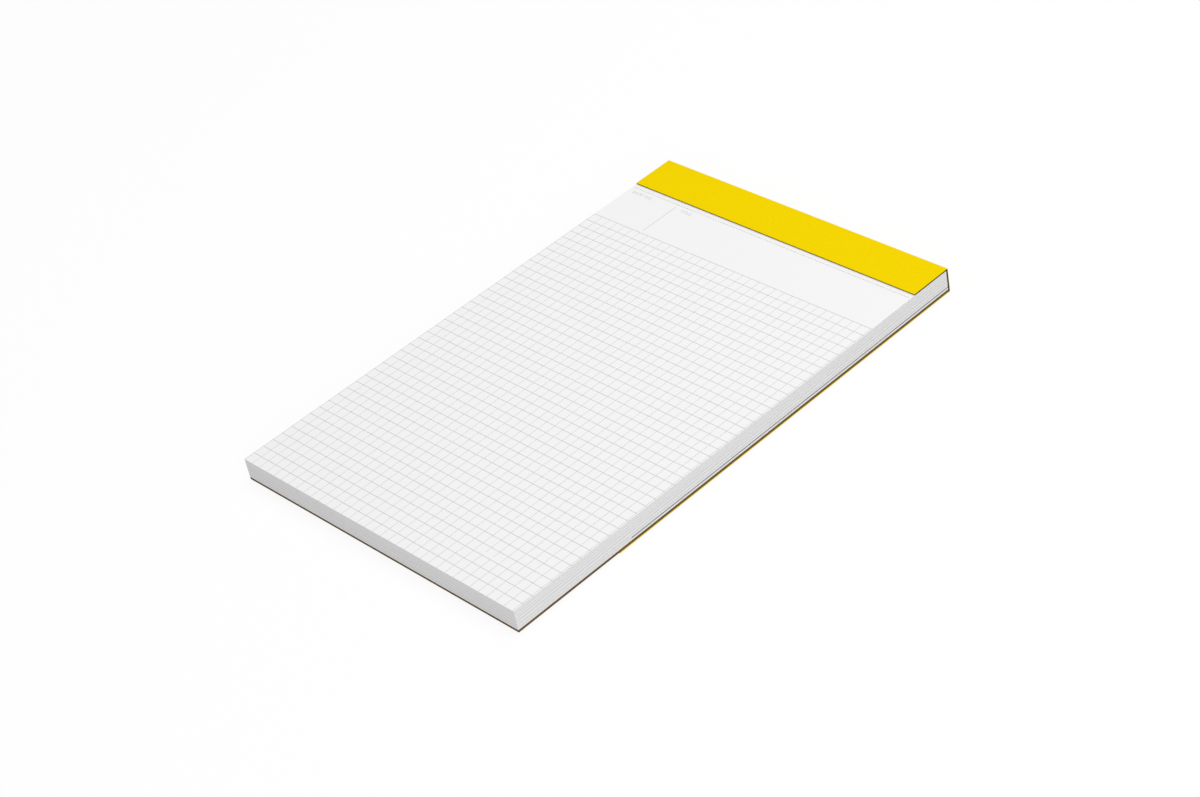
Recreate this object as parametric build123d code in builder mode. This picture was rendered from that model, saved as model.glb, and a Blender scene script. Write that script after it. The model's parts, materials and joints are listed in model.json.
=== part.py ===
from build123d import *
import os

# Grid notepad lying face up, bound at its head, in millimetres.
# A yellow card is folded sharply round the head: a strip on the front, the spine, and a leaf under the board.
# A thin dark lining is folded inside it, and its long leaf parts the writing sheets from the last sheets.
# The sheets are ruled in squares and tear off along a row of slits just below the strip.
# Origin: centre of the outline, on the surface that the pad lies on. +X right, +Y to the head, +Z up.

# Sheets
pad_width = 182.0
sheet_length = 257.0         # from the tear line to the foot, the size of a torn-off sheet
stub_length = 25.5           # from the tear line to the glued ends
sheet_thickness = 0.102
writing_sheets = 89          # above the lining's leaf
last_sheets_count = 11       # below the lining's leaf

# Cover, lining, board and glue
card_thickness = 0.45
card_fold_radius = 0.4       # outside of each fold
card_leaf_length = 223.1     # under the board, from the outside of the spine
lining_thickness = 0.35
lining_fold_radius = 0.3
lining_leaf_length = 214.75  # under the writing sheets, from the outside of the lining's spine
strip_gap = 1.9              # from the strip's cut edge to the tear line
board_thickness = 1.4
glue_thickness = 0.35        # between the sheets' ends and the lining

# Perforation
slit_length = 1.2
slit_width = 0.2
slit_pitch = 1.8
slit_edge_margin = 0.6       # least paper between the last slit and the sheet's side

# Ruling, which fills the sheet below the header, so its pitches follow from the sheet's size
columns = 34
rows = 40
header_depth = 27.7          # from the tear line to the ruling's top line
side_margin = 0.37           # from the sheet's left side to the first down line
far_margin = 0.75            # from the last down line to the sheet's right side
foot_overrun = 0.1           # the foot is trimmed this far above where the last row would end
line_width = 0.25
ink_thickness = 0.05
divider_column = 6           # the down line that the header's divider carries on
divider_width = 0.4
divider_top_gap = 2.0        # below the tear line
divider_bottom_gap = 1.8     # above the ruling's top line

# A small blank in the ruling near the foot's right corner, where three down lines break off above a row line.
blank_row = 36
blank_starts = {27: 0.65, 28: 0.65, 29: 0.78}  # down line: share of the row that is still ruled

# Heights of the layers, from the bottom up
board_z = card_thickness
last_z = board_z + board_thickness
leaf_z = last_z + last_sheets_count * sheet_thickness
block_z = leaf_z + lining_thickness
page_z = block_z + writing_sheets * sheet_thickness
strip_z = page_z + lining_thickness

# Places along the pad, from the foot to the head
sheets_length = sheet_length + stub_length
pad_length = sheets_length + glue_thickness + lining_thickness + card_thickness
foot_y = -pad_length / 2
tear_y = foot_y + sheet_length
strip_y = tear_y + strip_gap
bound_y = tear_y + stub_length
lining_y = bound_y + glue_thickness
card_y = lining_y + lining_thickness
sheets_y = (foot_y + bound_y) / 2
ruling_y = tear_y - header_depth
row_pitch = (ruling_y - foot_y + foot_overrun) / rows
column_pitch = (pad_width - side_margin - far_margin) / columns
first_line_x = side_margin - pad_width / 2
slit_count = int((pad_width - 2 * slit_edge_margin - slit_length) / slit_pitch) + 1


def sheet_block(low_z, sheets):
    """Trimmed sheets in one block, with the perforation cut through all of them."""
    with BuildPart() as block:
        with BuildSketch(Plane.XY.offset(low_z)):
            with Locations((0, sheets_y)):
                Rectangle(pad_width, sheets_length)
            with Locations((0, tear_y)):
                with GridLocations(slit_pitch, slit_pitch, slit_count, 1):
                    Rectangle(slit_length, slit_width, mode=Mode.SUBTRACT)
        extrude(amount=sheets * sheet_thickness)
    return block


def folded_sheet(thickness, fold_radius, spine_y, low_z, high_z, leaf_length):
    """A sheet folded twice round the head: strip above high_z, spine outside spine_y, leaf below low_z."""
    outer_y = spine_y + thickness
    with BuildPart() as folded:
        with BuildSketch(Plane.YZ) as section:
            with BuildLine():
                Polyline(
                    (strip_y, high_z),
                    (spine_y, high_z),
                    (spine_y, low_z),
                    (outer_y - leaf_length, low_z),
                    (outer_y - leaf_length, low_z - thickness),
                    (outer_y, low_z - thickness),
                    (outer_y, high_z + thickness),
                    (strip_y, high_z + thickness),
                    close=True,
                )
            make_face()
            fillet(section.vertices().group_by(Axis.X)[-1], radius=fold_radius)
        extrude(amount=pad_width / 2, both=True)
    return folded


# The writing sheets and the last sheets
page_block = sheet_block(block_z, writing_sheets)
last_sheets = sheet_block(last_z, last_sheets_count)

# The lining wraps the writing sheets alone, and the cover card wraps everything
cover_lining = folded_sheet(
    lining_thickness, lining_fold_radius, lining_y, block_z, page_z, lining_leaf_length
)
cover_card = folded_sheet(card_thickness, card_fold_radius, card_y, board_z, strip_z, card_leaf_length)

# Full-length chipboard under the sheets
with BuildPart() as backing_board:
    with BuildSketch(Plane.XY.offset(board_z)):
        with Locations((0, sheets_y)):
            Rectangle(pad_width, sheets_length)
    extrude(amount=board_thickness)

# Binding glue on the ends of the sheets and the board, out to the lining or, below its leaf, to the card
with BuildPart() as head_glue:
    with BuildSketch(Plane.YZ):
        with Locations((bound_y, block_z)):
            Rectangle(glue_thickness, page_z - block_z, align=(Align.MIN, Align.MIN))
        with Locations((bound_y, board_z)):
            Rectangle(card_y - bound_y, leaf_z - board_z, align=(Align.MIN, Align.MIN))
    extrude(amount=pad_width / 2, both=True)

# Down lines of the ruling, which run off the foot
with BuildPart() as ruling_down:
    with BuildSketch(Plane.XY.offset(page_z)):
        line_top = ruling_y + line_width / 2
        for line in range(columns + 1):
            with Locations((first_line_x + line * column_pitch, line_top)):
                Rectangle(line_width, line_top - foot_y, align=(Align.CENTER, Align.MAX))
        for line, ruled_share in blank_starts.items():
            blank_top = ruling_y - (blank_row + ruled_share) * row_pitch
            blank_bottom = ruling_y - (blank_row + 1) * row_pitch + line_width / 2
            with Locations((first_line_x + line * column_pitch, blank_top)):
                Rectangle(
                    2 * line_width,
                    blank_top - blank_bottom,
                    align=(Align.CENTER, Align.MAX),
                    mode=Mode.SUBTRACT,
                )
    extrude(amount=ink_thickness)

# Across lines, printed over the down lines from side to side
with BuildPart() as ruling_across:
    with BuildSketch(Plane.XY.offset(page_z + ink_thickness)):
        for row in range(rows):
            with Locations((0, ruling_y - row * row_pitch)):
                Rectangle(pad_width, line_width)
    extrude(amount=ink_thickness)

# The header's divider, between its two fields
with BuildPart() as header_divider:
    with BuildSketch(Plane.XY.offset(page_z)):
        with Locations((first_line_x + divider_column * column_pitch, tear_y - divider_top_gap)):
            Rectangle(
                divider_width,
                header_depth - divider_top_gap - divider_bottom_gap,
                align=(Align.CENTER, Align.MAX),
            )
    extrude(amount=ink_thickness)

pieces = {
    "cover_card": cover_card,
    "cover_lining": cover_lining,
    "page_block": page_block,
    "last_sheets": last_sheets,
    "backing_board": backing_board,
    "head_glue": head_glue,
    "ruling_down": ruling_down,
    "ruling_across": ruling_across,
    "header_divider": header_divider,
}
os.makedirs("parts", exist_ok=True)
for name, piece in pieces.items():
    piece.part.label = name
    export_step(piece.part, f"parts/{name}.step")
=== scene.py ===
"""Looks of a tear-off notepad of squared paper, lying face up on a pale floor.

A yellow card is folded round the bound head, with a thin dark lining folded inside it. Under the card's
front strip lie the writing sheets, ruled in squares, and under them the last sheets and a brown chipboard.
Lengths are in metres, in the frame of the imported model: +X right, +Y to the head, +Z up.
"""

import json
import logging
import math
import random
from dataclasses import dataclass
from enum import Enum

import bmesh
import bpy
from mathutils import Matrix, Vector

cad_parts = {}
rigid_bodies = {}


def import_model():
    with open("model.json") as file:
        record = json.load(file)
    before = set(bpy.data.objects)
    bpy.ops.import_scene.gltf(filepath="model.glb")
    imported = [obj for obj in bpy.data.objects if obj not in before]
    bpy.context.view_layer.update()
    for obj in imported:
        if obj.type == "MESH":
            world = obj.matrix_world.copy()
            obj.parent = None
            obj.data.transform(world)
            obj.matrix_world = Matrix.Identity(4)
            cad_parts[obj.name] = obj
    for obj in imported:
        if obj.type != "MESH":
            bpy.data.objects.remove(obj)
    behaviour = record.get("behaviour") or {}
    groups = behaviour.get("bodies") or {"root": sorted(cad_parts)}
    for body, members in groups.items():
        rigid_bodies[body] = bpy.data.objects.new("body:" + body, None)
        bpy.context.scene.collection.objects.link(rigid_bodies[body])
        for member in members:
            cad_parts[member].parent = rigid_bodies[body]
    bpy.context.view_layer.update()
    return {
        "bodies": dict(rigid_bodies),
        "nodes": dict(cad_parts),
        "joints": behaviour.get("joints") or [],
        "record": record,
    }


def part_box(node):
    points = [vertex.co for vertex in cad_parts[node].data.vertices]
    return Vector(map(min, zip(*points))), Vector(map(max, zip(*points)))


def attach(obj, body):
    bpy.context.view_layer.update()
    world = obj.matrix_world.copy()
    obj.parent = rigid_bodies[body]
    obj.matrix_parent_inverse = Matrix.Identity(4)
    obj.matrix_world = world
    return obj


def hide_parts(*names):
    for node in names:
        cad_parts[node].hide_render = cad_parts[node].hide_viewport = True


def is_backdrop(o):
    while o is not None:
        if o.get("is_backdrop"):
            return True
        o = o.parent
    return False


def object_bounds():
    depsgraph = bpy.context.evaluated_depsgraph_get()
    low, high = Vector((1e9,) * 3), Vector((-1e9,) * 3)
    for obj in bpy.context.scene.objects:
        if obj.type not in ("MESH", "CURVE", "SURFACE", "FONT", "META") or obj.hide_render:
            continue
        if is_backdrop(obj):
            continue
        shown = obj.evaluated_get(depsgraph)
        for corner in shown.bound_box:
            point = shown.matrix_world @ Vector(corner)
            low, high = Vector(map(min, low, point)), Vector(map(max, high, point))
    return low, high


LOG = logging.getLogger("grid notepad")
MM = 0.001
ROOT_BODY = "root"
# Name of the per-face share of painted shade on cut edges, where layers stand back.
EDGE_SHADE_ATTRIBUTE = "edge_shade_share"
MERGE_DISTANCE = 1e-7

Colour = tuple[float, float, float, float]
WHITE: Colour = (1.0, 1.0, 1.0, 1.0)


class CadNode(Enum):
    """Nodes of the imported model."""

    COVER_CARD = "cover_card"
    COVER_LINING = "cover_lining"
    PAGE_BLOCK = "page_block"
    LAST_SHEETS = "last_sheets"
    BACKING_BOARD = "backing_board"
    HEAD_GLUE = "head_glue"
    RULING_DOWN = "ruling_down"
    RULING_ACROSS = "ruling_across"
    HEADER_DIVIDER = "header_divider"


class Slot(Enum):
    """Material slots of the record, which the new pieces name but don't take: their materials are given to
    them directly.
    """

    COVER_CARD = "cover_card"
    LINING = "lining"
    PAPER = "paper"
    CHIPBOARD = "chipboard"
    INK = "ink"


def display_colour(red: float, green: float, blue: float) -> Colour:
    """Turns a colour as a screen shows it, from 0 to 255, into Blender's linear one.

    Args:
        red: Red share, 0 to 255.
        green: Green share, 0 to 255.
        blue: Blue share, 0 to 255.

    Returns:
        The linear colour with an alpha of 1.
    """
    shares = (red / 255, green / 255, blue / 255)
    linear = [share / 12.92 if share <= 0.04045 else ((share + 0.055) / 1.055) ** 2.4 for share in shares]
    return (linear[0], linear[1], linear[2], 1.0)


class Graph:
    """Adds the nodes of one tree and joins them.

    A Mix node has sockets for several kinds of value, so those for colours are picked by number.
    """

    MIX_FIRST_COLOUR = 6
    MIX_SECOND_COLOUR = 7
    MIX_RESULT_COLOUR = 2

    def __init__(self, tree: bpy.types.NodeTree) -> None:
        """Keeps the tree that the nodes go to."""
        self.tree = tree

    def feed(self, socket: bpy.types.NodeSocket, value: object) -> None:
        """Gives an input its value, or joins an output to it.

        Args:
            socket: The input socket.
            value: Its value, or the output socket that feeds it.
        """
        if isinstance(value, bpy.types.NodeSocket):
            self.tree.links.new(value, socket)
        else:
            socket.default_value = value

    def add(
        self, kind: str, inputs: dict[str | int, object] | None = None, **settings: object
    ) -> bpy.types.Node:
        """Adds a node.

        Args:
            kind: Blender's type name of the node, without its ShaderNode prefix.
            inputs: Values or output sockets for the node's inputs, by input name or number.
            settings: Properties of the node, by name.

        Returns:
            The new node.
        """
        node = self.tree.nodes.new("ShaderNode" + kind)
        for name, value in settings.items():
            setattr(node, name, value)
        for name, value in (inputs or {}).items():
            self.feed(node.inputs[name], value)
        return node

    def mask(self, group: bpy.types.NodeTree, inputs: dict[str, object]) -> bpy.types.NodeSocket:
        """Places a node group that makes a mask.

        Args:
            group: The node group.
            inputs: Values or output sockets for the group's inputs, by name.

        Returns:
            The mask's socket.
        """
        return self.add("Group", inputs, node_tree=group).outputs["Mask"]

    def math(self, operation: str, first: object, second: object = 0.0) -> bpy.types.NodeSocket:
        """Adds a Math node.

        Args:
            operation: The node's operation.
            first: First value or output socket.
            second: Second value or output socket.

        Returns:
            The result's socket.
        """
        return self.add("Math", {0: first, 1: second}, operation=operation).outputs[0]

    def blend(self, factor: object, first: object, second: object) -> bpy.types.NodeSocket:
        """Adds a Mix node for colours.

        Args:
            factor: Share of the second colour.
            first: First colour or output socket.
            second: Second colour or output socket.

        Returns:
            The mixed colour's socket.
        """
        mix = self.add(
            "Mix",
            {"Factor": factor, self.MIX_FIRST_COLOUR: first, self.MIX_SECOND_COLOUR: second},
            data_type="RGBA",
            clamp_factor=True,
        )
        return mix.outputs[self.MIX_RESULT_COLOUR]


def new_group(name: str, inputs: dict[str, str], outputs: dict[str, str]) -> bpy.types.NodeTree:
    """Makes an empty shader node group.

    Args:
        name: The group's name.
        inputs: Socket type of each input, by name.
        outputs: Socket type of each output, by name.

    Returns:
        The group's tree, which has no nodes yet.
    """
    tree = bpy.data.node_groups.new(name, "ShaderNodeTree")
    for direction, sockets in (("INPUT", inputs), ("OUTPUT", outputs)):
        for socket_name, kind in sockets.items():
            tree.interface.new_socket(name=socket_name, in_out=direction, socket_type="NodeSocket" + kind)
    return tree


@dataclass(frozen=True)
class EffectGroups:
    """Node groups that several materials use."""

    fibres: bpy.types.NodeTree
    flecks: bpy.types.NodeTree
    streaks: bpy.types.NodeTree

    @classmethod
    def make(cls) -> "EffectGroups":
        """Builds each group once."""
        return cls(cls._fibres(), cls._flecks(), cls._streaks())

    @staticmethod
    def _fibres() -> bpy.types.NodeTree:
        """Matted fibres of paper and card, which lie both ways, as a mask that is 0.5 on average.

        Returns:
            The group's tree.
        """
        tree = new_group("matted_fibres", {"Vector": "Vector", "Fibre Length": "Float"}, {"Mask": "Float"})
        graph = Graph(tree)
        source = tree.nodes.new("NodeGroupInput")
        scale = graph.math("DIVIDE", 1.0, source.outputs["Fibre Length"])
        slimness = 3.5
        masks = []
        for squeeze in ((slimness, 1.0, 1.0), (1.0, slimness, 1.0)):
            along = graph.add("VectorMath", {0: source.outputs["Vector"], 1: squeeze}, operation="MULTIPLY")
            noise = graph.add(
                "TexNoise",
                {
                    "Vector": along.outputs[0],
                    "Scale": scale,
                    "Detail": 3.0,
                    "Roughness": 0.6,
                    "Distortion": 0.4,
                },
            )
            masks.append(noise.outputs[0])
        mean = graph.math("MULTIPLY", graph.math("ADD", masks[0], masks[1]), 0.5)
        sink = tree.nodes.new("NodeGroupOutput")
        tree.links.new(mean, sink.inputs["Mask"])
        return tree

    @staticmethod
    def _flecks() -> bpy.types.NodeTree:
        """Scattered flecks of a pulp, as a mask that is 1 on a fleck and 0 between them.

        Returns:
            The group's tree.
        """
        tree = new_group(
            "pulp_flecks",
            {"Vector": "Vector", "Fleck Size": "Float", "Cover": "Float"},
            {"Mask": "Float"},
        )
        graph = Graph(tree)
        source = tree.nodes.new("NodeGroupInput")
        scale = graph.math("DIVIDE", 1.0, source.outputs["Fleck Size"])
        noise = graph.add(
            "TexNoise",
            {"Vector": source.outputs["Vector"], "Scale": scale, "Detail": 1.5, "Roughness": 0.5},
        )
        bare_threshold = 0.72
        threshold_span = 0.44
        softness = 0.12
        lowering = graph.math("MULTIPLY", source.outputs["Cover"], threshold_span)
        start = graph.math("SUBTRACT", bare_threshold, lowering)
        end = graph.math("ADD", start, softness)
        ramp = graph.add("MapRange", {"Value": noise.outputs[0], "From Min": start, "From Max": end})
        sink = tree.nodes.new("NodeGroupOutput")
        tree.links.new(ramp.outputs[0], sink.inputs["Mask"])
        return tree

    @staticmethod
    def _streaks() -> bpy.types.NodeTree:
        """Streaks that run along a cut edge, level with the layers, as a mask that is 0.5 on average.

        Returns:
            The group's tree.
        """
        tree = new_group(
            "edge_streaks",
            {"Vector": "Vector", "Streak Height": "Float", "Streak Length": "Float"},
            {"Mask": "Float"},
        )
        graph = Graph(tree)
        source = tree.nodes.new("NodeGroupInput")
        length = graph.math("DIVIDE", 1.0, source.outputs["Streak Length"])
        height = graph.math("DIVIDE", 1.0, source.outputs["Streak Height"])
        squeeze = graph.add("CombineXYZ", {"X": length, "Y": length, "Z": height}).outputs[0]
        along = graph.add("VectorMath", {0: source.outputs["Vector"], 1: squeeze}, operation="MULTIPLY")
        noise = graph.add(
            "TexNoise",
            {"Vector": along.outputs[0], "Scale": 1.0, "Detail": 2.0, "Roughness": 0.55},
        )
        sink = tree.nodes.new("NodeGroupOutput")
        tree.links.new(noise.outputs[0], sink.inputs["Mask"])
        return tree


@dataclass(frozen=True)
class Finish:
    """What every finish has: a name, the two colours that it varies between, and its gloss."""

    name: str
    colour: Colour
    second_colour: Colour
    roughness: float
    specular: float
    bump_depth: float

    def begin(self) -> tuple[bpy.types.Material, Graph, bpy.types.NodeSocket]:
        """Starts the material.

        Returns:
            The material, its graph and the socket of the object's own coordinates.
        """
        material = bpy.data.materials.new(self.name)
        material.use_nodes = True
        material.diffuse_color = self.colour
        graph = Graph(material.node_tree)
        place = graph.add("TexCoord").outputs["Object"]
        return material, graph, place

    def complete(
        self,
        material: bpy.types.Material,
        graph: Graph,
        colour: bpy.types.NodeSocket,
        height: bpy.types.NodeSocket,
    ) -> bpy.types.Material:
        """Joins the colour and the relief to the material's shader.

        Args:
            material: The material that was begun.
            graph: Its graph.
            colour: Socket of the surface colour.
            height: Socket of the relief, from 0 to 1.

        Returns:
            The finished material.
        """
        half_spread = 0.06
        smoothest = self.roughness - half_spread
        roughest = min(1.0, self.roughness + half_spread)
        rough = graph.add("MapRange", {"Value": height, "To Min": smoothest, "To Max": roughest})
        bump = graph.add("Bump", {"Height": height, "Distance": self.bump_depth, "Strength": 1.0})
        shader = material.node_tree.nodes["Principled BSDF"]
        graph.feed(shader.inputs["Specular IOR Level"], self.specular)
        graph.feed(shader.inputs["Base Color"], colour)
        graph.feed(shader.inputs["Roughness"], rough.outputs[0])
        graph.feed(shader.inputs["Normal"], bump.outputs[0])
        return material


@dataclass(frozen=True)
class PaperFaceFinish(Finish):
    """Smooth writing paper with a faint look-through of fibres."""

    fibre_length: float = 1.1 * MM
    variation: float = 0.9

    def make(self, groups: EffectGroups) -> bpy.types.Material:
        """Builds the material.

        Args:
            groups: The effects' node groups.

        Returns:
            The material.
        """
        material, graph, place = self.begin()
        fibres = graph.mask(groups.fibres, {"Vector": place, "Fibre Length": self.fibre_length})
        share = graph.math("MULTIPLY", fibres, self.variation)
        colour = graph.blend(share, self.colour, self.second_colour)
        return self.complete(material, graph, colour, fibres)


@dataclass(frozen=True)
class LayeredEdgeFinish(Finish):
    """Cut edge of a stack, with painted shade where its layers stand back, and streaks along it."""

    streak_height: float = 0.25 * MM
    streak_length: float = 40 * MM
    streak_share: float = 0.3
    fibre_length: float = 0.6 * MM

    def make(self, groups: EffectGroups) -> bpy.types.Material:
        """Builds the material.

        Args:
            groups: The effects' node groups.

        Returns:
            The material.
        """
        material, graph, place = self.begin()
        streaks = graph.mask(
            groups.streaks,
            {"Vector": place, "Streak Height": self.streak_height, "Streak Length": self.streak_length},
        )
        fibres = graph.mask(groups.fibres, {"Vector": place, "Fibre Length": self.fibre_length})
        # Painted shade: this per-face share blends the edge towards the second colour, standing in for the
        # shade between layers that stand back.
        setback_shade = graph.add("Attribute", attribute_name=EDGE_SHADE_ATTRIBUTE).outputs["Fac"]
        fine = graph.math("MULTIPLY", graph.math("SUBTRACT", streaks, 0.5), self.streak_share)
        share = graph.math("ADD", setback_shade, fine)
        colour = graph.blend(share, self.colour, self.second_colour)
        height = graph.math("MULTIPLY", graph.math("ADD", fibres, streaks), 0.5)
        return self.complete(material, graph, colour, height)


@dataclass(frozen=True)
class CardFinish(Finish):
    """Dyed card, board or glue with a fine mottle."""

    fleck_size: float = 0.8 * MM
    cover: float = 0.5
    fibre_length: float = 1.4 * MM
    fibre_share: float = 0.35

    def make(self, groups: EffectGroups) -> bpy.types.Material:
        """Builds the material.

        Args:
            groups: The effects' node groups.

        Returns:
            The material.
        """
        material, graph, place = self.begin()
        flecks = graph.mask(
            groups.flecks, {"Vector": place, "Fleck Size": self.fleck_size, "Cover": self.cover}
        )
        fibres = graph.mask(groups.fibres, {"Vector": place, "Fibre Length": self.fibre_length})
        mottle = graph.math("MULTIPLY", flecks, 1.0 - self.fibre_share)
        matting = graph.math("MULTIPLY", fibres, self.fibre_share)
        colour = graph.blend(graph.math("ADD", mottle, matting), self.colour, self.second_colour)
        return self.complete(material, graph, colour, fibres)


@dataclass(frozen=True)
class Perforation:
    """Row of slits across the sheets, along which a sheet tears off."""

    sheet_length: float = 257 * MM
    slit_length: float = 1.45 * MM
    slit_width: float = 0.3 * MM
    slit_pitch: float = 1.8 * MM
    edge_margin: float = 0.6 * MM

    def slit_ends(self, low: Vector, high: Vector) -> list[float]:
        """Places of both ends of each slit across the sheets.

        Args:
            low: Lowest corner of the stack.
            high: Highest corner of the stack.

        Returns:
            The ends, from left to right.
        """
        room = high.x - low.x - 2 * self.edge_margin - self.slit_length
        count = int(room / self.slit_pitch) + 1
        middle = (low.x + high.x) / 2
        ends = []
        for number in range(count):
            centre = middle + (number - (count - 1) / 2) * self.slit_pitch
            ends += [centre - self.slit_length / 2, centre + self.slit_length / 2]
        return ends

    def cut(self, shape: bmesh.types.BMesh, low: Vector, high: Vector) -> None:
        """Cuts the slits through a flat outline.

        Args:
            shape: Mesh that holds the outline alone.
            low: Lowest corner of the stack.
            high: Highest corner of the stack.
        """
        tear_y = low.y + self.sheet_length
        for edge_y in (tear_y - self.slit_width / 2, tear_y + self.slit_width / 2):
            bisect(shape, shape.faces[:], Vector((0, edge_y, 0)), Vector((0, 1, 0)))
        band_margin = self.slit_width / 4
        uncut = next(face for face in shape.faces if abs(face.calc_center_median().y - tear_y) < band_margin)
        row = [uncut]
        for end_x in self.slit_ends(low, high):
            before = set(shape.faces)
            bisect(shape, [uncut], Vector((end_x, 0, 0)), Vector((1, 0, 0)))
            pieces = [uncut] + [face for face in shape.faces if face not in before]
            pieces.sort(key=lambda face: face.calc_center_median().x)
            row = row[:-1] + pieces
            uncut = pieces[-1]
        bmesh.ops.delete(shape, geom=row[1::2], context="FACES")


def bisect(
    shape: bmesh.types.BMesh, faces: list[bmesh.types.BMFace], point: Vector, normal: Vector
) -> None:
    """Cuts faces along a plane and keeps both sides.

    Args:
        shape: The mesh.
        faces: Faces to cut.
        point: A point on the plane.
        normal: The plane's normal.
    """
    edges = list({edge for face in faces for edge in face.edges})
    verts = list({vert for face in faces for vert in face.verts})
    bmesh.ops.bisect_plane(shape, geom=verts + edges + faces, plane_co=point, plane_no=normal)


def extrude_ring(
    shape: bmesh.types.BMesh, ring: list[bmesh.types.BMEdge], rise: float
) -> tuple[list[bmesh.types.BMEdge], list[bmesh.types.BMVert], list[bmesh.types.BMFace]]:
    """Extrudes edges straight up.

    Args:
        shape: The mesh.
        ring: Edges to extrude.
        rise: Height of the new faces, which may be 0.

    Returns:
        The new edges at the far end of the faces, their vertices, and the faces.
    """
    made = bmesh.ops.extrude_edge_only(shape, edges=ring)["geom"]
    verts = [item for item in made if isinstance(item, bmesh.types.BMVert)]
    faces = [item for item in made if isinstance(item, bmesh.types.BMFace)]
    far = set(verts)
    edges = [item for item in made if isinstance(item, bmesh.types.BMEdge) and set(item.verts) <= far]
    bmesh.ops.translate(shape, verts=verts, vec=(0, 0, rise))
    return edges, verts, faces


@dataclass
class LayeredBlock:
    """A trimmed stack as one solid, whose cut edges step in and out a little from layer to layer.

    The first and last layers reach the full outline, and the head is straight, where glue holds it.
    The lift is how far its underside stands above the node's.
    """

    name: str
    node: CadNode
    slot: Slot
    layers: int
    trim_depth: float
    seed: int
    perforation: Perforation | None = None
    lift: float = 0.0

    def setback_shade(self, layer: int, draws: random.Random) -> float:
        """How far a layer stands back at the trimmed edges, from 0 to 1, which is also its edge's share of
        painted shade.

        Args:
            layer: Number of the layer, from the bottom.
            draws: Source of the chance part.

        Returns:
            The layer's setback, which is also its share of painted shade.
        """
        return draws.random()

    def layer_setback_shades(self) -> list[float]:
        """Setbacks of all layers, from the bottom, which are also their shares of painted shade."""
        draws = random.Random(self.seed)
        return [self.setback_shade(layer, draws) for layer in range(self.layers)]

    def build(
        self, face_material: bpy.types.Material, edge_material: bpy.types.Material
    ) -> bpy.types.Object:
        """Builds the block in place of its CAD node.

        Args:
            face_material: Finish of the flat faces.
            edge_material: Finish of the cut edges.

        Returns:
            The finished piece.
        """
        low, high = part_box(self.node.value)
        low.z += self.lift
        shape = bmesh.new()
        shape.faces.layers.float.new(EDGE_SHADE_ATTRIBUTE)
        width, length, height = high - low
        place = Matrix.Translation(((low.x + high.x) / 2, (low.y + high.y) / 2, low.z))
        spread = Matrix.Diagonal((width, length, 1, 1))
        bmesh.ops.create_grid(shape, x_segments=1, y_segments=1, size=0.5, matrix=place @ spread)
        if self.perforation is not None:
            self.perforation.cut(shape, low, high)
        outer, inner = self._open_edges(shape, low, high)
        flat = shape.faces[:]
        top = bmesh.ops.duplicate(shape, geom=shape.verts[:] + shape.edges[:] + flat)["geom"]
        top_verts = [item for item in top if isinstance(item, bmesh.types.BMVert)]
        bmesh.ops.translate(shape, verts=top_verts, vec=(0, 0, height))
        if inner:
            extrude_ring(shape, inner, height)
        self._build_edges(shape, outer, low, high)
        bmesh.ops.remove_doubles(shape, verts=shape.verts[:], dist=MERGE_DISTANCE)
        self.close_up(shape, high)
        bmesh.ops.recalc_face_normals(shape, faces=shape.faces[:])
        self._assign_finishes(shape, low, high)
        piece = place_piece(self.name, shape, [face_material, edge_material])
        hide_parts(self.node.value)
        return piece

    def close_up(self, shape: bmesh.types.BMesh, high: Vector) -> None:
        """Changes the stack's top where the stack above comes down on it, which a plain block doesn't.

        Args:
            shape: The mesh.
            high: Highest corner of the stack.
        """

    @staticmethod
    def _open_edges(
        shape: bmesh.types.BMesh, low: Vector, high: Vector
    ) -> tuple[list[bmesh.types.BMEdge], list[bmesh.types.BMEdge]]:
        """Sorts the open edges of a flat outline.

        Args:
            shape: Mesh that holds the outline alone.
            low: Lowest corner of the stack.
            high: Highest corner of the stack.

        Returns:
            The edges round the outline, and the edges round the slits.
        """
        margin = 0.1 * MM
        outer = []
        inner = []
        for edge in shape.edges:
            if not edge.is_boundary:
                continue
            middle = (edge.verts[0].co + edge.verts[1].co) / 2
            in_x = low.x + margin < middle.x < high.x - margin
            in_y = low.y + margin < middle.y < high.y - margin
            (inner if in_x and in_y else outer).append(edge)
        return outer, inner

    def _build_edges(
        self, shape: bmesh.types.BMesh, ring: list[bmesh.types.BMEdge], low: Vector, high: Vector
    ) -> None:
        """Builds the trimmed edges, layer on layer, from the bottom outline to the top one.

        Args:
            shape: The mesh.
            ring: Edges round the bottom outline.
            low: Lowest corner of the stack.
            high: Highest corner of the stack.
        """
        setback_shades = self.layer_setback_shades()
        # Each layer's edge faces and ledges store its setback as the share of painted shade that the edge
        # finish darkens them by.
        attribute = shape.faces.layers.float[EDGE_SHADE_ATTRIBUTE]
        thickness = (high.z - low.z) / self.layers
        for layer, setback_shade in enumerate(setback_shades):
            if layer > 0:
                ring, verts, ledges = extrude_ring(shape, ring, 0.0)
                flush = layer == self.layers - 1
                self._trim(verts, low, high, 0.0 if flush else self.trim_depth * setback_shade)
                for face in ledges:
                    face[attribute] = setback_shade
            ring, verts, faces = extrude_ring(shape, ring, thickness)
            for face in faces:
                face[attribute] = setback_shade

    @staticmethod
    def _trim(verts: list[bmesh.types.BMVert], low: Vector, high: Vector, depth: float) -> None:
        """Sets one outline of the trimmed edges back from the full outline, apart from the head.

        Args:
            verts: Vertices of the outline.
            low: Lowest corner of the stack.
            high: Highest corner of the stack.
            depth: How far the sides and the foot stand back.
        """
        middle = (low + high) / 2
        foot_margin = 1 * MM
        for vert in verts:
            vert.co.x = high.x - depth if vert.co.x > middle.x else low.x + depth
            if vert.co.y < low.y + foot_margin:
                vert.co.y = low.y + depth

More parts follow.
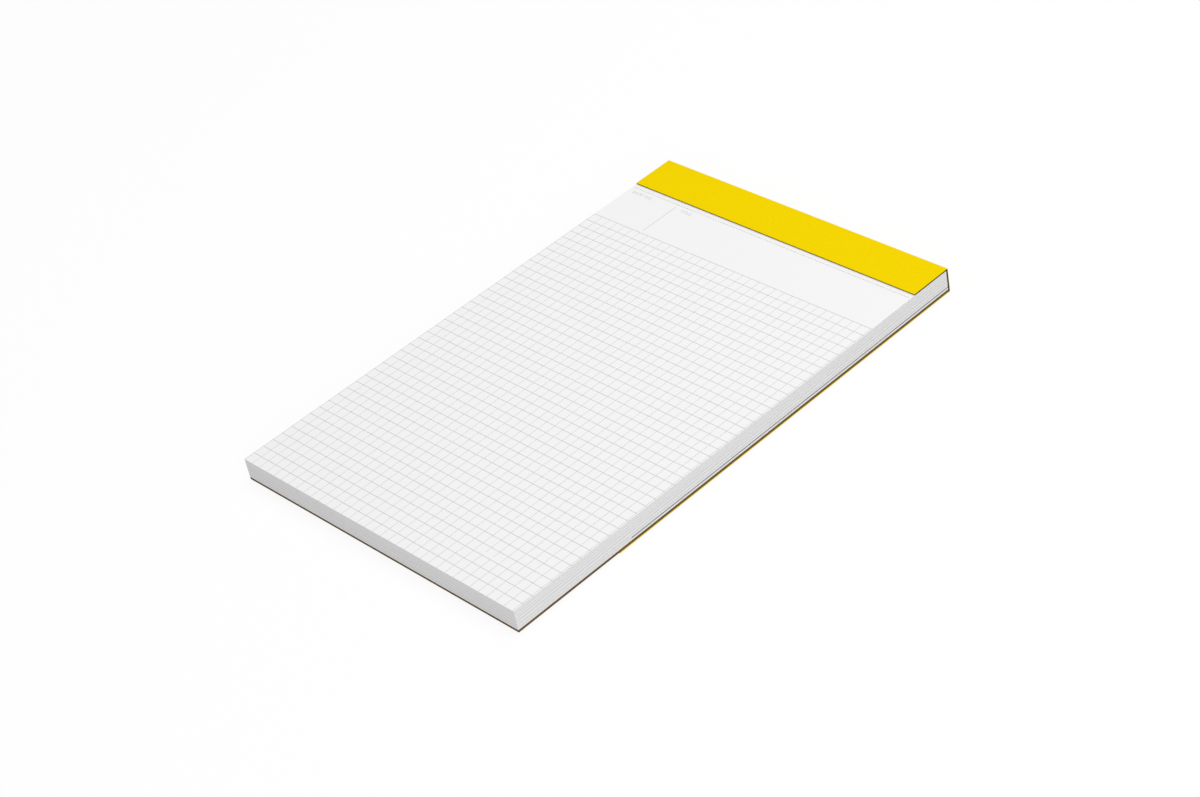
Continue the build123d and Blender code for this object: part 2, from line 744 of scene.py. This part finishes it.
    @staticmethod
    def _assign_finishes(shape: bmesh.types.BMesh, low: Vector, high: Vector) -> None:
        """Gives the outline's top and bottom faces the first material and all others the second.

        Args:
            shape: The mesh.
            low: Lowest corner of the stack.
            high: Highest corner of the stack.
        """
        for face in shape.faces:
            middle = face.calc_center_median()
            is_flat = abs(middle.z - low.z) < MERGE_DISTANCE or abs(middle.z - high.z) < MERGE_DISTANCE
            face.material_index = 0 if is_flat else 1


@dataclass
class SheetStack(LayeredBlock):
    """Sheets of paper, gathered in bundles that stand back where they meet.

    Without bundles the whole stack is one. The rise is the height that the stack fills past the end of the
    leaf on it, so that the sheets above lie on it there.
    """

    bundles: tuple[int, ...] = ()
    chance_share: float = 0.25
    rise: float = 0.0
    # Fixed share of painted shade for the edge faces round the raised part.
    riser_shade: float = 0.4

    def setback_shade(self, layer: int, draws: random.Random) -> float:
        """How far a sheet stands back, which is also its share of painted shade, deepest where two bundles
        meet.

        Args:
            layer: Number of the sheet, from the bottom.
            draws: Source of the chance part.

        Returns:
            The sheet's setback and share of painted shade.
        """
        start = 0
        size = self.layers
        for sheets in self.bundles:
            if layer < start + sheets:
                size = sheets
                break
            start += sheets
        share = (layer + 0.5 - start) / size
        groove = 0.5 + 0.5 * math.cos(2 * math.pi * share)
        return (1 - self.chance_share) * groove + self.chance_share * draws.random()

    def close_up(self, shape: bmesh.types.BMesh, high: Vector) -> None:
        """Fills the height of the leaf past the leaf's end, where the sheets lie on each other.

        Args:
            shape: The mesh.
            high: Highest corner of the stack.
        """
        if self.rise == 0.0:
            return
        leaf_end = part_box(CadNode.COVER_LINING.value)[0].y
        top = [face for face in shape.faces if abs(face.calc_center_median().z - high.z) < MERGE_DISTANCE]
        before = set(shape.faces) - set(top)
        bisect(shape, top, Vector((0, leaf_end, 0)), Vector((0, 1, 0)))
        halves = [face for face in shape.faces if face not in before]
        past = [face for face in halves if face.calc_center_median().y < leaf_end]
        made = bmesh.ops.extrude_face_region(shape, geom=past)["geom"]
        raised = [item for item in made if isinstance(item, bmesh.types.BMVert)]
        bmesh.ops.translate(shape, verts=raised, vec=(0, 0, self.rise))
        bmesh.ops.delete(shape, geom=[face for face in past if face.is_valid], context="FACES_ONLY")
        # The faces round the raised part take a fixed share of painted shade.
        attribute = shape.faces.layers.float[EDGE_SHADE_ATTRIBUTE]
        for face in {face for vert in raised for face in vert.link_faces}:
            face[attribute] = self.riser_shade


@dataclass
class FoldedSheet:
    """A card folded twice round the head: a strip on the front, a spine and a leaf under what it wraps.

    Only its outer skin is coloured. The core shows at the cut edges of the strip and the spine, and the leaf
    is coloured through.
    """

    name: str
    node: CadNode
    slot: Slot
    thickness: float
    leaf_thickness: float
    skin: float
    fold_radius: float
    strip_gap: float
    fold_segments: int = 4

    def build(
        self, skin_material: bpy.types.Material, core_material: bpy.types.Material, perforation: Perforation
    ) -> bpy.types.Object:
        """Builds the folded sheet in place of its CAD node.

        Args:
            skin_material: Finish of the skin and the leaf.
            core_material: Finish of the core.
            perforation: The perforation, which the strip's cut edge is measured from.

        Returns:
            The finished piece.
        """
        low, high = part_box(self.node.value)
        page_low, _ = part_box(CadNode.PAGE_BLOCK.value)
        strip_y = page_low.y + perforation.sheet_length + self.strip_gap
        skin_z = high.z - self.skin
        shape = bmesh.new()
        core_cap = self._draw_section(shape, low, high, strip_y)
        core_cap.material_index = 1
        made = bmesh.ops.extrude_face_region(shape, geom=shape.faces[:])["geom"]
        far = [item for item in made if isinstance(item, bmesh.types.BMVert)]
        bmesh.ops.translate(shape, verts=far, vec=(high.x - low.x, 0, 0))
        bmesh.ops.recalc_face_normals(shape, faces=shape.faces[:])
        shape.normal_update()
        for face in shape.faces:
            is_cap = abs(face.normal.x) > 0.5
            if is_cap:
                continue
            middle = face.calc_center_median()
            at_strip_edge = abs(middle.y - strip_y) < MERGE_DISTANCE
            face.material_index = int(at_strip_edge and middle.z < skin_z)
        self._round_folds(shape, low, high)
        piece = place_piece(self.name, shape, [skin_material, core_material])
        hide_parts(self.node.value)
        return piece

    def _draw_section(
        self, shape: bmesh.types.BMesh, low: Vector, high: Vector, strip_y: float
    ) -> bmesh.types.BMFace:
        """Draws the section at the left side, as a face for the skin and the leaf and one for the core.

        Args:
            shape: The mesh.
            low: Lowest corner of the folded sheet.
            high: Highest corner of the folded sheet.
            strip_y: Place of the strip's cut edge.

        Returns:
            The core's face.
        """
        inner_y = high.y - self.thickness
        inner_z = high.z - self.thickness
        skin_y = high.y - self.skin
        skin_z = high.z - self.skin
        leaf_z = low.z + self.leaf_thickness
        outside = ((strip_y, high.z), (high.y, high.z), (high.y, low.z), (low.y, low.z), (low.y, leaf_z))
        shared = ((inner_y, leaf_z), (skin_y, leaf_z), (skin_y, skin_z), (strip_y, skin_z))
        inside = ((strip_y, inner_z), (inner_y, inner_z))
        outside_verts, shared_verts, inside_verts = (
            [shape.verts.new((low.x, y, z)) for y, z in points] for points in (outside, shared, inside)
        )
        shape.faces.new(outside_verts + shared_verts)
        return shape.faces.new(shared_verts + inside_verts)

    def _round_folds(self, shape: bmesh.types.BMesh, low: Vector, high: Vector) -> None:
        """Rounds the two folds at the head.

        Args:
            shape: The mesh.
            low: Lowest corner of the folded sheet.
            high: Highest corner of the folded sheet.
        """
        folds = []
        for edge in shape.edges:
            middle = (edge.verts[0].co + edge.verts[1].co) / 2
            at_head = abs(middle.y - high.y) < MERGE_DISTANCE
            at_fold = min(abs(middle.z - low.z), abs(middle.z - high.z)) < MERGE_DISTANCE
            if at_head and at_fold:
                folds.append(edge)
        bmesh.ops.bevel(
            shape,
            geom=folds,
            offset=self.fold_radius,
            segments=self.fold_segments,
            profile=0.5,
            affect="EDGES",
            material=-1,
        )


@dataclass(frozen=True)
class Label:
    """A generic field name in the page's header."""

    name: str
    text: str
    left: float
    right: float


@dataclass
class FieldLabels:
    """Small printed field names at the top of the header's two fields.

    The letters are drawn at the font's own size and then scaled. The half depth and the first stem's reach,
    where the height of a capital is measured, are in that size.
    """

    labels: tuple[Label, ...] = (
        Label(name="date_label", text="DATE / NO.", left=-87.6 * MM, right=-74.3 * MM),
        Label(name="title_label", text="TITLE", left=-54.3 * MM, right=-47.1 * MM),
    )
    cap_height: float = 1.9 * MM
    below_tear_line: float = 4.2 * MM
    film: float = 0.05 * MM
    half_depth: float = 0.5
    first_stem: float = 0.2
    curve_steps: int = 4

    def build(self, ink: bpy.types.Material, perforation: Perforation) -> list[bpy.types.Object]:
        """Builds both labels as films of ink on the page.

        Args:
            ink: Finish of the print.
            perforation: The perforation, which the labels are measured from.

        Returns:
            The labels.
        """
        low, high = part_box(CadNode.PAGE_BLOCK.value)
        baseline = low.y + perforation.sheet_length - self.below_tear_line
        return [
            self._build_label(label, ink, Vector((label.left, baseline, high.z))) for label in self.labels
        ]

    def _build_label(self, label: Label, ink: bpy.types.Material, corner: Vector) -> bpy.types.Object:
        """Builds one label.

        Args:
            label: The label's text and width.
            ink: Finish of the print.
            corner: Left end of the baseline, on the page.

        Returns:
            The label.
        """
        curve = bpy.data.curves.new(label.name, "FONT")
        curve.body = label.text
        curve.extrude = self.half_depth
        curve.resolution_u = self.curve_steps
        source = bpy.data.objects.new(label.name + "_text", curve)
        bpy.context.scene.collection.objects.link(source)
        bpy.context.view_layer.update()
        evaluated = source.evaluated_get(bpy.context.evaluated_depsgraph_get())
        letters = bpy.data.meshes.new_from_object(evaluated)
        bpy.data.objects.remove(source)
        shape = bmesh.new()
        shape.from_mesh(letters)
        bpy.data.meshes.remove(letters)
        left = min(vert.co.x for vert in shape.verts)
        right = max(vert.co.x for vert in shape.verts)
        cap_top = max(vert.co.y for vert in shape.verts if vert.co.x < left + self.first_stem)
        across = (label.right - label.left) / (right - left)
        up = self.cap_height / cap_top
        scale = Matrix.Diagonal((across, up, self.film, 1))
        move = Matrix.Translation(corner + Vector((-left * across, 0, self.film / 2)))
        bmesh.ops.transform(shape, matrix=move @ scale, verts=shape.verts[:])
        bmesh.ops.remove_doubles(shape, verts=shape.verts[:], dist=MERGE_DISTANCE)
        bmesh.ops.recalc_face_normals(shape, faces=shape.faces[:])
        piece = place_piece(label.name, shape, [ink])
        return piece


def place_piece(
    name: str, shape: bmesh.types.BMesh, materials: list[bpy.types.Material]
) -> bpy.types.Object:
    """Makes a finished mesh a piece of the pad.

    Args:
        name: The piece's name.
        shape: Its mesh, which is used up.
        materials: Its materials, in the order of the faces' material numbers.

    Returns:
        The piece, which rides on the pad's body.
    """
    mesh = bpy.data.meshes.new(name)
    shape.to_mesh(mesh)
    shape.free()
    for material in materials:
        mesh.materials.append(material)
    piece = bpy.data.objects.new(name, mesh)
    bpy.context.scene.collection.objects.link(piece)
    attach(piece, ROOT_BODY)
    LOG.info("%s: %d faces", name, len(mesh.polygons))
    return piece


def dress_node(frame: dict, node: CadNode, material: bpy.types.Material) -> None:
    """Gives a CAD node that stays its material.

    Args:
        frame: The loaded frame.
        node: The node.
        material: Its finish.
    """
    kept = frame["nodes"][node.value]
    if not kept.material_slots:
        kept.data.materials.append(material)
    for place in kept.material_slots:
        place.material = material
    LOG.info("%s: dressed in %s", node.value, material.name)


@dataclass
class Notepad:
    """The whole pad: its stacks, its folded cards, its board and its print.

    The bundles are counted from the bottom. The trims are the most that a layer stands back at a cut edge,
    and the gaps are from the tear line to the cut edges of the card's and the lining's strips.
    """

    perforation: Perforation = Perforation()
    writing_sheets: int = 89
    writing_bundles: tuple[int, ...] = (12, 18, 17, 13, 13, 12, 4)
    last_sheets: int = 11
    sheet_trim: float = 0.05 * MM
    board_plies: int = 7
    ply_trim: float = 0.06 * MM
    card_thickness: float = 0.45 * MM
    card_leaf_thickness: float = 0.55 * MM
    card_skin: float = 0.07 * MM
    card_gap: float = 2.7 * MM
    lining_thickness: float = 0.35 * MM
    lining_gap: float = 3.0 * MM
    fold_radius: float = 0.15 * MM

    def build(self, frame: dict) -> None:
        """Builds and dresses every piece.

        Args:
            frame: The loaded frame.
        """
        groups = EffectGroups.make()
        self._build_sheets(groups)
        self._build_board(groups)
        self._build_cards(groups)
        self._dress_glue(frame, groups)
        self._print_page(frame, groups)

    def _build_sheets(self, groups: EffectGroups) -> None:
        """Builds the writing sheets and the last sheets.

        Args:
            groups: The effects' node groups.
        """
        face = PaperFaceFinish(
            name="writing_paper",
            colour=display_colour(248, 248, 248),
            second_colour=display_colour(244, 244, 244),
            roughness=0.9,
            specular=0.1,
            bump_depth=0.01 * MM,
        ).make(groups)
        # The second colour is painted shade: the edges of sheets that stand back, most where bundles meet,
        # blend towards it.
        edge = LayeredEdgeFinish(
            name="paper_cut_edge",
            colour=display_colour(252, 252, 252),
            second_colour=display_colour(228, 228, 228),
            roughness=0.9,
            specular=0.1,
            bump_depth=0.02 * MM,
        ).make(groups)
        SheetStack(
            name="writing_sheets",
            node=CadNode.PAGE_BLOCK,
            slot=Slot.PAPER,
            layers=self.writing_sheets,
            trim_depth=self.sheet_trim,
            seed=11,
            perforation=self.perforation,
            bundles=self.writing_bundles,
        ).build(face, edge)
        SheetStack(
            name="bottom_sheets",
            node=CadNode.LAST_SHEETS,
            slot=Slot.PAPER,
            layers=self.last_sheets,
            trim_depth=self.sheet_trim,
            seed=12,
            perforation=self.perforation,
            rise=self.lining_thickness,
        ).build(face, edge)

    def _build_board(self, groups: EffectGroups) -> None:
        """Builds the chipboard, which lies on the card's leaf.

        Args:
            groups: The effects' node groups.
        """
        face = CardFinish(
            name="chipboard_face",
            colour=display_colour(150, 129, 102),
            second_colour=display_colour(116, 97, 74),
            roughness=0.9,
            specular=0.1,
            bump_depth=0.04 * MM,
        ).make(groups)
        # The second colour is painted shade: the edges of plies that stand back blend towards it, as far as
        # each ply's random setback.
        edge = LayeredEdgeFinish(
            name="chipboard_cut_edge",
            colour=display_colour(134, 107, 75),
            second_colour=display_colour(94, 73, 45),
            roughness=0.9,
            specular=0.1,
            bump_depth=0.05 * MM,
        ).make(groups)
        LayeredBlock(
            name="chipboard",
            node=CadNode.BACKING_BOARD,
            slot=Slot.CHIPBOARD,
            layers=self.board_plies,
            trim_depth=self.ply_trim,
            seed=13,
            lift=self.card_leaf_thickness - self.card_thickness,
        ).build(face, edge)

    def _build_cards(self, groups: EffectGroups) -> None:
        """Builds the yellow card and the dark lining inside it.

        Args:
            groups: The effects' node groups.
        """
        yellow = CardFinish(
            name="yellow_card",
            colour=display_colour(247, 217, 2),
            second_colour=display_colour(244, 210, 2),
            roughness=0.75,
            specular=0.01,
            bump_depth=0.02 * MM,
        ).make(groups)
        core = CardFinish(
            name="card_core",
            colour=display_colour(112, 95, 40),
            second_colour=display_colour(94, 79, 34),
            roughness=0.8,
            specular=0.1,
            bump_depth=0.02 * MM,
        ).make(groups)
        dark = CardFinish(
            name="dark_lining",
            colour=display_colour(54, 45, 38),
            second_colour=display_colour(42, 34, 29),
            roughness=0.8,
            specular=0.12,
            bump_depth=0.02 * MM,
        ).make(groups)
        FoldedSheet(
            name="folded_cover",
            node=CadNode.COVER_CARD,
            slot=Slot.COVER_CARD,
            thickness=self.card_thickness,
            leaf_thickness=self.card_leaf_thickness,
            skin=self.card_skin,
            fold_radius=self.fold_radius,
            strip_gap=self.card_gap,
        ).build(yellow, core, self.perforation)
        FoldedSheet(
            name="folded_lining",
            node=CadNode.COVER_LINING,
            slot=Slot.LINING,
            thickness=self.lining_thickness,
            leaf_thickness=self.lining_thickness,
            skin=self.lining_thickness / 2,
            fold_radius=self.fold_radius,
            strip_gap=self.lining_gap,
        ).build(dark, dark, self.perforation)

    @staticmethod
    def _dress_glue(frame: dict, groups: EffectGroups) -> None:
        """Dresses the padding glue at the head.

        Args:
            frame: The loaded frame.
            groups: The effects' node groups.
        """
        glue = CardFinish(
            name="padding_glue",
            colour=display_colour(82, 66, 55),
            second_colour=display_colour(66, 52, 43),
            roughness=0.5,
            specular=0.4,
            bump_depth=0.03 * MM,
        ).make(groups)
        dress_node(frame, CadNode.HEAD_GLUE, glue)

    def _print_page(self, frame: dict, groups: EffectGroups) -> None:
        """Dresses the ruling and adds the field labels.

        Args:
            frame: The loaded frame.
            groups: The effects' node groups.
        """
        ink = PaperFaceFinish(
            name="grey_print",
            colour=display_colour(216, 216, 216),
            second_colour=display_colour(212, 212, 212),
            roughness=0.85,
            specular=0.1,
            bump_depth=0.005 * MM,
        ).make(groups)
        for node in (CadNode.RULING_DOWN, CadNode.RULING_ACROSS, CadNode.HEADER_DIVIDER):
            dress_node(frame, node, ink)
        FieldLabels().build(ink, self.perforation)


@dataclass(frozen=True)
class SoftBox:
    """A square lamp that faces a point."""

    name: str
    place: tuple[float, float, float]
    size: float
    power: float


@dataclass
class Studio:
    """Pale floor, soft lamps, a white backdrop and the camera."""

    lamps: tuple[SoftBox, ...] = (
        SoftBox(name="overhead_box", place=(0.15, 0.42, 1.3), size=0.9, power=7.2),
        SoftBox(name="front_right_box", place=(1.89, -1.24, 1.05), size=1.3, power=21.6),
    )
    ambient: float = 0.518
    floor_reach: float = 4.0
    floor_gap: float = 0.02 * MM
    floor_colour: Colour = display_colour(188, 188, 188)
    shadow_share: float = 0.12
    camera_place: tuple[float, float, float] = (0.79767, -0.61959, 0.74348)
    camera_azimuth: float = 52.3372
    camera_elevation: float = 36.6266
    camera_roll: float = -12.1418
    lens: float = 81.035
    sensor_width: float = 36.0

    def build(self) -> None:
        """Builds the whole studio round the pad."""
        self._build_floor()
        self._build_world()
        for lamp in self.lamps:
            self._build_lamp(lamp)
        self._build_camera()
        bpy.context.scene.view_settings.view_transform = "Standard"

    def _build_floor(self) -> None:
        """Lays the floor, which shows white to the camera but keeps a soft shadow."""
        low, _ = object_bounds()
        shape = bmesh.new()
        level = Matrix.Translation((0, 0, low.z - self.floor_gap))
        bmesh.ops.create_grid(shape, x_segments=1, y_segments=1, size=self.floor_reach, matrix=level)
        mesh = bpy.data.meshes.new("floor")
        shape.to_mesh(mesh)
        shape.free()
        mesh.materials.append(self._floor_material())
        floor = bpy.data.objects.new("floor", mesh)
        bpy.context.scene.collection.objects.link(floor)
        floor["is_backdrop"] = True

    def _floor_material(self) -> bpy.types.Material:
        """Makes the floor's material: plain and pale to the light, nearly white to the camera.

        Returns:
            The material.
        """
        material = bpy.data.materials.new("pale_floor")
        material.use_nodes = True
        material.node_tree.nodes.clear()
        graph = Graph(material.node_tree)
        lit = graph.add("BsdfDiffuse", {"Color": self.floor_colour}).outputs[0]
        bright = graph.add("BsdfDiffuse", {"Color": WHITE}).outputs[0]
        white = graph.add("Emission", {"Color": WHITE, "Strength": 1.0}).outputs[0]
        shown = graph.add("MixShader", {0: 1.0 - self.shadow_share, 1: bright, 2: white}).outputs[0]
        is_camera = graph.add("LightPath").outputs["Is Camera Ray"]
        pick = graph.add("MixShader", {0: is_camera, 1: lit, 2: shown}).outputs[0]
        graph.add("OutputMaterial", {"Surface": pick})
        return material

    def _build_world(self) -> None:
        """Makes the world a white backdrop to the camera and a soft even light to the pad."""
        world = bpy.data.worlds.new("white_room")
        world.use_nodes = True
        bpy.context.scene.world = world
        world.node_tree.nodes.clear()
        graph = Graph(world.node_tree)
        is_camera = graph.add("LightPath").outputs["Is Camera Ray"]
        strength = graph.add("MapRange", {"Value": is_camera, "To Min": self.ambient, "To Max": 1.0})
        light = graph.add("Background", {"Color": WHITE, "Strength": strength.outputs[0]})
        graph.add("OutputWorld", {"Surface": light.outputs[0]})

    @staticmethod
    def _build_lamp(lamp: SoftBox) -> None:
        """Hangs one lamp, which faces the pad's middle.

        Args:
            lamp: The lamp's name, place, size and power.
        """
        light = bpy.data.lights.new(lamp.name, "AREA")
        light.size = lamp.size
        light.energy = lamp.power
        holder = bpy.data.objects.new(lamp.name, light)
        holder.location = lamp.place
        holder.rotation_euler = Vector(lamp.place).to_track_quat("Z", "Y").to_euler()
        bpy.context.scene.collection.objects.link(holder)

    def _build_camera(self) -> None:
        """Sets up the camera at the photograph's place and angle."""
        camera = bpy.data.cameras.new("camera")
        camera.lens = self.lens
        camera.sensor_width = self.sensor_width
        camera.sensor_fit = "HORIZONTAL"
        holder = bpy.data.objects.new("camera", camera)
        azimuth = math.radians(self.camera_azimuth)
        elevation = math.radians(self.camera_elevation)
        turn = (
            Matrix.Rotation(azimuth, 4, "Z")
            @ Matrix.Rotation(math.pi / 2 - elevation, 4, "X")
            @ Matrix.Rotation(math.radians(self.camera_roll), 4, "Z")
        )
        holder.matrix_world = Matrix.Translation(self.camera_place) @ turn
        bpy.context.scene.collection.objects.link(holder)
        bpy.context.scene.camera = holder


def main() -> None:
    """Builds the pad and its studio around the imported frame."""
    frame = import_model()
    Notepad().build(frame)
    Studio().build()


if __name__ == "__main__":
    logging.basicConfig(level=logging.INFO, format="%(message)s")
    main()
